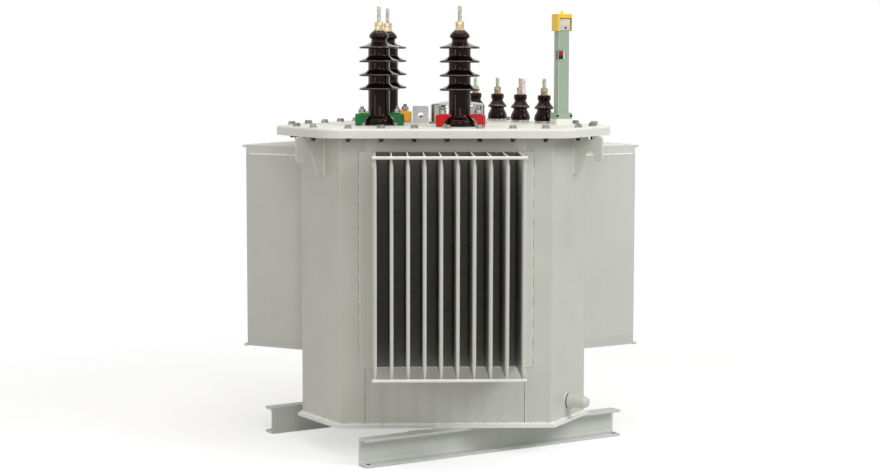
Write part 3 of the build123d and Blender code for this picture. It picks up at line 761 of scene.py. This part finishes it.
def hole_walls(shape):
    """Dark walls just inside the four holding-down holes, darker than the paint round them."""
    inside = HOLE_RADIUS - 0.15
    profile = [(inside, 0.3), (inside, FLANGE_TOP - 0.3), (HOLE_RADIUS, FLANGE_TOP - 0.1)]
    for x, y in HOLE_SPOTS:
        shape.turned(profile, upright(x, y, 0.0), steps=32)


make_piece(hook_welds, "lifting_hook_welds", bead_lit_grey, "tank_paint")
Shape().bead(drain_ring(0.6, 26.0), 2.6, closed=True).piece("drain_valve_weld", [bead_lit_grey], "tank_paint")
# A dark plate at the bottom of the drain valve's key slot: painted shade in the slot
slot_shade = Shape().pressed(rectangle(1.9, 11.4), 0.5, on_drain(65.0))
slot_shade.piece("drain_slot_painted_shade", [black_screw_and_shade], "valve_paint")
make_piece(lug_weld, "cover_lug_weld", bead_lit_grey, "cover_paint")
make_piece(channel_welds, "channel_welds", bead_lit_grey, "base_paint")
make_piece(hole_walls, "holding_hole_walls", dark_bore, "base_paint")
# A dark ring between the drain valve's collar and barrel: painted shade in the gap at its neck
neck_shade = Shape().bead(drain_ring(5.2, 21.2), 1.5, closed=True, ripple=9.0)
neck_shade.piece("drain_neck_painted_shade", [black_screw_and_shade], "valve_paint")


# Cover bolts

BOLT_OUT = 47.0
LONG_BOLTS = (-277.0, -185.0, -92.0, 0.0, 92.0, 185.0, 277.0)
CORNER_BOLTS = (-50.0, 50.0)
BOLT_PLATE = (6.2, 12.0, 2.5)
BOLT_HEAD = 7.5
BOLT_NUT = 10.0


def cover_bolts():
    """Heads on the cover and nuts under its rim, each turned a little differently."""
    spots = [(angle, LONG_DISTANCE + BOLT_OUT, a) for angle in LONG_SIDES.values() for a in LONG_BOLTS]
    spots += [(angle, CORNER_DISTANCE + BOLT_OUT, a) for angle in CORNERS.values() for a in CORNER_BOLTS]
    hole, radius, thick = BOLT_PLATE
    under = [(hole, -thick), (radius - 0.3, -thick), (radius, 0.3 - thick), (radius, 0.0), (hole, 0.0)]
    end = [(0, -20.0), (5.0, -20.0), (5.8, -19.2), (5.8, -thick - BOLT_NUT)]
    heads, nuts = Shape(), Shape()
    for k, (angle, out, along) in enumerate(spots):
        spot = on_side(angle, out, along, 0.0)
        turn = (37 * k) % 60
        above = upright(spot.x, spot.y, COVER_TOP, turn)
        heads.washer(hole, radius, 0.0, thick, above, 32, cut=(0.3, 0.3))
        heads.hexagon(BOLT_FLATS, BOLT_HEAD, 0.0, above, base=thick, both=False)
        below = upright(spot.x, spot.y, WALL_TOP, (turn + 23) % 60)
        nuts.turned(under, below, steps=32)
        nuts.hexagon(BOLT_FLATS, BOLT_NUT, STUD_RADIUS, below, base=-thick - BOLT_NUT)
        nuts.turned(end, below, steps=20)
    return heads, nuts


bolt_heads, bolt_nuts = cover_bolts()
bolt_heads.piece("cover_bolt_heads", [zinc_bolt], "terminal_metal", sharp=28)
bolt_nuts.piece("cover_bolt_nuts", [dark_nut], "terminal_metal", sharp=28)


# Porcelain

SHED_RADIUS = 58.0
BODY_RADIUS = 31.5
NECK_RADIUS = 22.5
SHED_COUNT = 4
SHED_LOWEST = 104.0
SHED_PITCH = 40.0
LIP_RADIUS = 3.1
# How far in and up the hollowed top of a shed goes, from its rim to the body
SHED_TOP = ((0.16, 5.6), (0.34, 7.4), (0.52, 9.2), (0.68, 11.2), (0.82, 13.4), (0.92, 15.6),
            (0.985, 18.0), (1.0, 20.4))


def hv_porcelain_profile():
    """A rolled foot, sheds with a drip lip and a hollowed top, and a domed head. It comes with the
    segments on the rims, which take a lighter glaze: partly glaze run thin and partly painted highlight."""
    profile = [(0, 0), (41.5, 0.0), (44.6, 1.2), (45.8, 4.0), (46.0, 9.0), (45.8, 14.0), (44.4, 18.0),
               (41.2, 21.0), (37.6, 23.4), (34.6, 26.0), (32.6, 29.0), (BODY_RADIUS, 33.0)]
    rims = []
    edge = SHED_RADIUS - 1.4
    for k in range(SHED_COUNT):
        shed = SHED_LOWEST + SHED_PITCH * k
        above = NECK_RADIUS if k == SHED_COUNT - 1 else BODY_RADIUS
        profile += [(BODY_RADIUS, shed - 2.0), (BODY_RADIUS + 0.5, shed + 0.8),
                    (BODY_RADIUS + 2.2, shed + 2.4), (38.0, shed + 2.6), (46.0, shed + 1.2),
                    (51.0, shed - 0.2)]
        rims += [len(profile) + j for j in (5, 6, 7)]
        profile += arc((SHED_RADIUS - LIP_RADIUS, shed + 1.6), LIP_RADIUS, -96, 62, 8)
        profile += [(edge - (edge - above) * share, shed + rise) for share, rise in SHED_TOP]
    profile += [(NECK_RADIUS, 248.0), (22.9, 250.4), (24.4, 252.0), (26.8, 253.0), (28.4, 254.4),
                (29.0, 256.8), (28.6, 260.0), (27.0, 263.4), (24.2, 267.0), (20.6, 270.6),
                (17.0, 273.6), (14.4, 275.2), (12.0, 276.0), (0, 276.0)]
    return profile, rims


# A low-voltage porcelain from its foot up, and the segments on its one rim, which take the lighter rim
# glaze: partly glaze run thin and partly painted highlight
LV_PORCELAIN = [(0, 0), (26.4, 0.0), (28.8, 1.0), (29.8, 3.4), (30.0, 7.0), (29.6, 11.0), (28.4, 15.6),
                (26.2, 20.6), (23.6, 25.4), (21.6, 29.6), (20.7, 32.6), (21.4, 34.8), (24.6, 35.8),
                (27.4, 36.4), (28.6, 37.8), (29.0, 40.0), (28.4, 42.2), (26.8, 43.8), (24.6, 46.2),
                (22.2, 49.2), (19.8, 52.6), (18.0, 55.6), (17.1, 58.0), (17.0, 60.0), (17.8, 61.8),
                (19.4, 63.4), (20.0, 65.6), (20.0, 74.6), (19.2, 77.0), (17.4, 78.0), (0, 78.0)]
LV_RIM = (15, 16)


def porcelain(row, phase, profile, place, steps, rims):
    """One glazed porcelain in place of the plain one."""
    shape = Shape().turned(profile, place, steps, bands=rims)
    shape.piece(f"{row}_porcelain_{phase}", [glaze, rim_glaze_and_highlight], "glazed_porcelain", sharp=60,
                replaces=(f"{row}_bushing_{phase}",))


hv_profile, hv_rims = hv_porcelain_profile()
for phase, (x, y) in HV_PLACES.items():
    porcelain("hv", phase, hv_profile, upright(x, y, COVER_TOP), 96, hv_rims)
for phase, y in LV_PLACES.items():
    porcelain("lv", phase, LV_PORCELAIN, upright(LV_ACROSS, y, LV_FOOT), 72, LV_RIM)


# Terminals. Washer and lock are a radius and a top, second is the foot of the upper nut, and turns
# are the two nuts'. Heights start at the porcelain's head.

HV_NUTS = {"washer": (14.5, 2.0), "flats": 22.0, "nut": 10.0, "lock": (13.0, 13.6), "second": 13.8,
           "turns": (11, 34), "thread": (23.0, 68.0)}
LV_NUTS = {"washer": (12.5, 1.6), "flats": 19.0, "nut": 9.0, "lock": (11.5, 12.0), "second": 12.0,
           "turns": (8, 31), "thread": (20.5, 49.0)}


def terminal(row, phase, x, y, head, metals, washer, flats, nut, lock, second, turns, thread):
    """Washer, nut, lock washer and second nut on a threaded stud, in place of the plain terminal."""
    place = upright(x, y, head)
    shape = Shape()
    shape.washer(STUD_RADIUS, washer[0], -1.0, washer[1], place, 40, mark=1, cut=(0.5, 0.4))
    shape.hexagon(flats, nut, NUT_BORE, upright(x, y, head, turns[0]), base=washer[1], mark=1)
    shape.washer(STUD_RADIUS, lock[0], washer[1] + nut, lock[1], place, 40, mark=1)
    shape.hexagon(flats, nut, NUT_BORE, upright(x, y, head, turns[1]), base=second, mark=1)
    shape.thread(STUD_RADIUS, *thread, place)
    shape.piece(f"{row}_threaded_terminal_{phase}", metals, "terminal_metal", sharp=28,
                replaces=(f"{row}_terminal_{phase}",))


for phase, (x, y) in HV_PLACES.items():
    terminal("hv", phase, x, y, HV_HEAD, [tinned_stud, brass_nut], **HV_NUTS)


# Claws on the high-voltage porcelains

CLAW_TURN = 3.0
CLAW_WIDTH = 20.0
CLAW_STUD_OUT = 59.0
CLAW_SEAT = 37.6
CLAW_WASHER = (11.5, 2.0)
CLAW_LOOKS = {"a": (claw_yellow, "clamp_yellow"), "b": (claw_green, "clamp_green"),
              "c": (claw_red, "clamp_red")}
CLAW_ANGLES = [60.0 + CLAW_TURN + 120.0 * k for k in range(3)]


def claw_outline():
    """Side of one arched claw: X outward from the bushing axis, Y up. The toe hooks over the foot."""
    return (
        [(68.0, 0.0), (76.0, 0.0), (77.0, 7.0), (77.6, 18.0), (77.4, 29.5)]
        + arc((73.6, 30.6), 3.9, 0, 80, 5)
        + [(64.0, 36.0), (53.0, 36.4), (42.0, 35.6)]
        + arc((36.4, 31.8), 3.6, 92, 232, 6)
        + [(36.4, 27.2), (41.0, 25.9), (46.0, 24.4), (50.2, 21.8), (53.6, 18.2), (57.6, 12.8), (62.0, 6.8)]
    )


def claw(shape, x, y, angle):
    """One claw that faces angle, with its width across."""
    outward, across = side_axes(angle)
    rows = Matrix((outward, Vector((0, 0, 1)), -across)).transposed().to_4x4()
    corner = Vector((x, y, COVER_TOP)) + across * (CLAW_WIDTH / 2)
    shape.pressed(claw_outline(), CLAW_WIDTH, Matrix.Translation(corner) @ rows)


def claw_fixing(shape, x, y, angle):
    """A claw's stud, with a washer and a nut at its foot and on the claw."""
    spot = Vector((x, y, 0)) + side_axes(angle)[0] * CLAW_STUD_OUT
    foot = upright(spot.x, spot.y, COVER_TOP, angle)
    radius, thick = CLAW_WASHER
    for low, nut, turn in ((0.0, 7.0, 0), (CLAW_SEAT, 9.0, 20)):
        shape.washer(STUD_RADIUS, radius, low, low + thick, foot, 32)
        place = upright(spot.x, spot.y, COVER_TOP, angle + turn)
        shape.hexagon(BOLT_FLATS, nut, NUT_BORE, place, base=low + thick)
    shape.turned([(NUT_BORE, 9.0), (NUT_BORE, 38.0)], foot, steps=24)
    shape.thread(STUD_RADIUS - 0.2, 48.0, 55.0, foot)


GASKET = [(30, 0.0), (49.0, 0.0), (49.6, 1.6), (48.6, 3.2), (30, 3.2)]
for phase, (x, y) in HV_PLACES.items():
    claws, studs = Shape(), Shape()
    for angle in CLAW_ANGLES:
        claw(claws, x, y, angle)
        claw_fixing(studs, x, y, angle)
    look, slot = CLAW_LOOKS[phase]
    claws.piece(f"hv_claws_{phase}", [look], slot, bevel=2.2, replaces=(f"hv_clamps_{phase}",))
    studs.piece(f"hv_claw_studs_{phase}", [claw_stud], "terminal_metal", sharp=28)
    gasket = Shape().turned(GASKET, upright(x, y, COVER_TOP), steps=64)
    gasket.piece(f"hv_gasket_{phase}", [gasket_rubber], "glazed_porcelain")


# Low-voltage terminals and connector plate

CONNECTOR_TURN = -31.94

for phase, y in LV_PLACES.items():
    terminal("lv", phase, LV_ACROSS, y, LV_HEAD, [tinned_stud, dull_nut], **LV_NUTS)


def holed_plate(width, height, thickness, hole, radius):
    """Points and faces of an upright plate in XZ with one round hole, thickness along Y."""
    half = width / 2
    corners = [(half, height), (-half, height), (-half, 0.0), (half, 0.0)]
    turns = {round(2 * pi * k / 32, 6) for k in range(32)}
    turns |= {round(atan2(z - hole[1], x - hole[0]) % (2 * pi), 6) for x, z in corners}
    inner, outer = [], []
    for turn in sorted(turns):
        c, s = cos(turn), sin(turn)
        sideways = ((half if c > 0 else -half) - hole[0]) / c if abs(c) > 1e-9 else 1e9
        upward = ((height if s > 0 else 0.0) - hole[1]) / s if abs(s) > 1e-9 else 1e9
        reach = min(sideways, upward)
        inner.append((hole[0] + radius * c, hole[1] + radius * s))
        outer.append((hole[0] + reach * c, hole[1] + reach * s))
    n = len(inner)
    points = [(x, y, z) for y in (0.0, thickness) for loop in (inner, outer) for x, z in loop]
    faces = []
    for k in range(n):
        j = (k + 1) % n
        faces += [[k, n + k, n + j, j], [2 * n + k, 2 * n + j, 3 * n + j, 3 * n + k],
                  [n + k, 3 * n + k, 3 * n + j, n + j], [k, j, 2 * n + j, 2 * n + k]]
    return points, faces


def connector_plate():
    """A holed upright plate on a foot round the terminal's washer."""
    stand = upright(LV_ACROSS, LV_PLACES["b"], LV_HEAD, CONNECTOR_TURN)
    foot = [(3.9, -13.2), (15.3, -13.2), (13.0, 6.0), (7.0, 11.0), (-7.0, 11.0), (-11.0, 4.0), (-9.0, -6.0)]
    points, faces = holed_plate(11.5, 49.0, 2.4, (0.8, 44.2), 2.6)
    shape = Shape().add(points, faces, stand @ Matrix.Translation((9.6, -13.2, 0.0)))
    return shape.pressed(foot, 2.2, stand)


connector_plate().piece("lv_connector_plate_b", [connector_tin], "terminal_metal", bevel=0.3)


# Oil gauge

gauge_at = upright(*GAUGE_PLACE, COVER_TOP, GAUGE_TURN)
WINDOW_HEIGHT = GAUGE_HEIGHT - 72.0
WINDOW_HALF = 12.3
FRAME_HEIGHT = 29.0
RIB_ALONG = -16.2
FOOT_SCREW = [(4.0, -0.5), (4.0, 0.7), (3.5, 1.2), (2.2, 1.2), (2.2, 0.2), (0, 0.2)]
COLLAR_SCREW = [(3.4, -0.5), (3.4, 0.6), (3.0, 1.1), (1.8, 1.1), (1.8, 0.2), (0, 0.2)]


def on_gauge(turn, out, along=0.0, up=0.0):
    """Matrix on an upright face of the gauge, turned from its front: X along, Y up, Z out."""
    return (gauge_at @ Matrix.Rotation(radians(turn), 4, "Z") @ Matrix.Translation((along, -out, up))
            @ Matrix.Rotation(radians(90), 4, "X"))


front_face = on_gauge(0, GAUGE_HALF)
side_face = on_gauge(-90, GAUGE_HALF)


def window_frame(shape, where, middle, width):
    """A thin raised frame round a sight window."""
    outer, inner = rounded_box(width, FRAME_HEIGHT, 2.4), rounded_box(width - 2.6, 25.0, 1.4)
    rings = ((outer, 1.0, -0.2), (outer, 0.985, 1.1), (inner, 1.0, 1.1), (inner, 1.0, -0.4))
    points = [(x * share, y * share, z) for loop, share, z in rings for x, y in loop]
    count = len(outer)
    faces = [face for r in range(3) for face in band(r * count, (r + 1) * count, count)]
    shape.add(points, faces, where @ Matrix.Translation((middle, WINDOW_HEIGHT, 0)))


def window_glass(shape, where, middle, half, mark):
    """A bowed pane in a sight window."""
    turns = [pi * k / 16 for k in range(17)]
    points = [(middle - half * cos(turn), WINDOW_HEIGHT + rise, -0.6 + 1.4 * sin(turn))
              for rise in (-WINDOW_HALF, WINDOW_HALF) for turn in turns]
    shape.add(points, [[k, k + 1, k + 18, k + 17] for k in range(16)], where, mark)


def make_sight_glass():
    """Dark glass over a float: red above, black below, split softly by height."""
    made, tree, surface = new_material("sight_glass_with_float")
    surface.inputs["Specular IOR Level"].default_value = 0.25
    where = put(tree, "ShaderNodeTexCoord").outputs["Object"]
    height = put(tree, "ShaderNodeSeparateXYZ", where).outputs["Z"]
    level = (COVER_TOP + WINDOW_HEIGHT - 3.0) * MM
    share = ramp(tree, height, level - 0.004, level + 0.006)
    stain = noise(tree, 180.0, 4.0)
    red = blend(tree, stain, srgb(150, 26, 28), srgb(196, 52, 50))
    feed(tree, surface.inputs["Base Color"], blend(tree, share, srgb(16, 8, 26), red))
    feed(tree, surface.inputs["Roughness"], plus(tree, times(tree, stain, 0.1), 0.05))
    return made


def socket_screws():
    """Screws in the gauge's foot, front and back, and one in the relief valve's collar."""
    shape = Shape()
    for turn in (0, 180):
        for along in (-21.5, 21.5):
            shape.turned(FOOT_SCREW, on_gauge(turn, GAUGE_FOOT_HALF, along, 25.0), steps=24)
    return shape.turned(COLLAR_SCREW, on_gauge(0, 20.5, 4.0, GAUGE_HEIGHT + 7.5), steps=24)


frames = Shape()
window_frame(frames, front_face, -7.1, 21.6)
window_frame(frames, side_face, 10.4, 15.0)
frames.piece("gauge_window_frames", [gauge_green], "gauge_paint")

panes = Shape()
window_glass(panes, front_face, -9.9, 7.6, 0)
window_glass(panes, side_face, 10.6, 6.9, 1)
panes.piece("gauge_sight_glass", [make_sight_glass(), dark_glass], "gauge_paint")

strip_at = front_face @ Matrix.Translation((0.0, WINDOW_HEIGHT, -0.2))
strip = Shape().pressed(rounded_box(3.8, 24.4, 0.6), 0.9, strip_at)
strip.piece("gauge_white_strip", [strip_white], "gauge_paint")

# A proud rib on the gauge's front, in lighter enamel as a painted highlight along the corner
rib = Shape()
for length, middle in ((158.0, 110.0), (50.0, 246.0)):
    rib.pressed(rounded_box(2.6, length, 1.2), 0.9, front_face @ Matrix.Translation((RIB_ALONG, middle, 0)))
rib.piece("gauge_front_rib", [rib_highlight_green], "gauge_paint", bevel=0.4)

block_at = gauge_at @ Matrix.Translation((0, 0, GAUGE_HEIGHT + 14.0))
cap_block = Shape().pressed(rounded_box(40.0, 38.0, 3.0), 20.5, block_at)
cap_block.piece("relief_valve_block", [valve_cream], "relief_metal", bevel=0.8)
socket_screws().piece("gauge_socket_screws", [black_screw_and_shade], "terminal_metal", sharp=28)


# Camera, from the fit to the photograph

HEADING, PITCH, ROLL = 31.9406, -5.5026, 0.0802
EYE_PLACE = (-3.04185, -4.86538, 1.14985)
FOCAL_PIXELS = 1921.68
PHOTO_WIDTH = 880.0
SENSOR_WIDTH = 36.0

eye = bpy.data.cameras.new("photo_camera")
eye.sensor_width = SENSOR_WIDTH
eye.lens = SENSOR_WIDTH * FOCAL_PIXELS / PHOTO_WIDTH
eye.clip_start, eye.clip_end = 0.1, 100.0
camera = new_object("photo_camera", eye)
camera.matrix_world = (
    Matrix.Translation(EYE_PLACE)
    @ Matrix.Rotation(radians(-HEADING), 4, "Z")
    @ Matrix.Rotation(radians(90 + PITCH), 4, "X")
    @ Matrix.Rotation(radians(ROLL), 4, "Z")
)
bpy.context.scene.camera = camera


# White studio

WORLD_LEVEL = 0.30
FLOOR_LIFT = 0.52
FLOOR_HALF = 40
FLOOR_DEPTH = -0.0005
FADE_START = 0.9
FADE_END = 2.2


def seen_as_white(tree):
    """1 for the rays that should find a white studio: camera, glossy and transmission rays."""
    path = put(tree, "ShaderNodeLightPath").outputs
    share = plus(tree, path["Is Camera Ray"], path["Is Glossy Ray"], clamp=True)
    return plus(tree, share, path["Is Transmission Ray"], clamp=True)


def surround_level(tree, seen):
    """Full strength for the rays that should find white, and WORLD_LEVEL for the rest."""
    return plus(tree, WORLD_LEVEL, times(tree, seen, 1.0 - WORLD_LEVEL))


def make_floor_look():
    """Matte with a lift near the object, and as white as the world further out."""
    made, tree, surface = new_material("pale_studio_floor")
    tree.nodes.remove(surface)
    seen = seen_as_white(tree)
    matte = put(tree, "ShaderNodeBsdfDiffuse", Color=(0.70, 0.70, 0.70, 1))
    lift = put(tree, "ShaderNodeEmission", Color=(1, 1, 1, 1), Strength=times(tree, seen, FLOOR_LIFT))
    near = put(tree, "ShaderNodeAddShader", matte.outputs[0], lift.outputs[0])
    far = put(tree, "ShaderNodeEmission", Color=(1, 1, 1, 1), Strength=surround_level(tree, seen))
    position = put(tree, "ShaderNodeNewGeometry").outputs["Position"]
    reach = put(tree, "ShaderNodeVectorMath", position, operation="LENGTH").outputs["Value"]
    fade = ramp(tree, reach, FADE_START, FADE_END)
    spread = put(tree, "ShaderNodeMixShader", fade, near.outputs[0], far.outputs[0])
    feed(tree, tree.nodes["Material Output"].inputs["Surface"], spread.outputs[0])
    return made


floor_mesh = bpy.data.meshes.new("studio_floor")
floor_corners = [(x, y, FLOOR_DEPTH) for x, y in rectangle(FLOOR_HALF, FLOOR_HALF)]
floor_mesh.from_pydata(floor_corners, [], [(0, 1, 2, 3)])
floor_mesh.materials.append(make_floor_look())
floor = new_object("studio_floor", floor_mesh)

world = bpy.data.worlds.new("white_studio")
bpy.context.scene.world = world
world.use_nodes = True
tree = world.node_tree
surround = tree.nodes["Background"]
seen = seen_as_white(tree)
feed(tree, surround.inputs["Color"], blend(tree, seen, (1.0, 0.98, 0.93, 1), (1, 1, 1, 1)))
feed(tree, surround.inputs["Strength"], surround_level(tree, seen))


# Lamps


def softbox(name, right, nearer, height, size, power, colour=(1, 1, 1), target=(0, 0, 0.6)):
    """A soft lamp placed by how far it stands right of the camera's line and nearer the camera."""
    turn = radians(HEADING)
    ahead, rightward = Vector((sin(turn), cos(turn), 0)), Vector((cos(turn), -sin(turn), 0))
    spot = rightward * right - ahead * nearer + Vector((0, 0, height))
    lamp = bpy.data.lights.new(name, "AREA")
    lamp.shape = "RECTANGLE"
    lamp.size, lamp.size_y = size
    lamp.energy = power
    lamp.color = colour
    made = new_object(name, lamp)
    made.location = spot
    made.rotation_mode = "QUATERNION"
    made.rotation_quaternion = (Vector(target) - spot).to_track_quat("-Z", "Y")
    made.visible_camera = False


# Name, metres right of the camera's line, nearer the camera and up, size, power, colour and target
for lamp in (
    ("right_front_softbox", 3.2, 2.2, 3.0, (1.8, 1.8), 82, (0.985, 1.0, 1.015)),
    ("left_softbox", -3.6, 1.4, 2.2, (1.6, 1.6), 11, (1.0, 0.97, 0.90)),
    ("overhead_softbox", 0.0, 0.3, 4.2, (3.0, 3.0), 54, (1.0, 0.99, 0.96)),
    ("front_softbox", 0.4, 4.4, 2.2, (1.6, 1.6), 25, (1.0, 0.985, 0.95)),
    ("glint_box", 0.3, 3.4, 2.7, (0.18, 0.18), 6),
    ("glint_strip", -2.3, 2.4, 1.15, (0.05, 1.0), 8, (1, 1, 1), (0, 0, 1.1)),
):
    softbox(*lamp)

scene = bpy.context.scene
scene.view_settings.view_transform = "Standard"
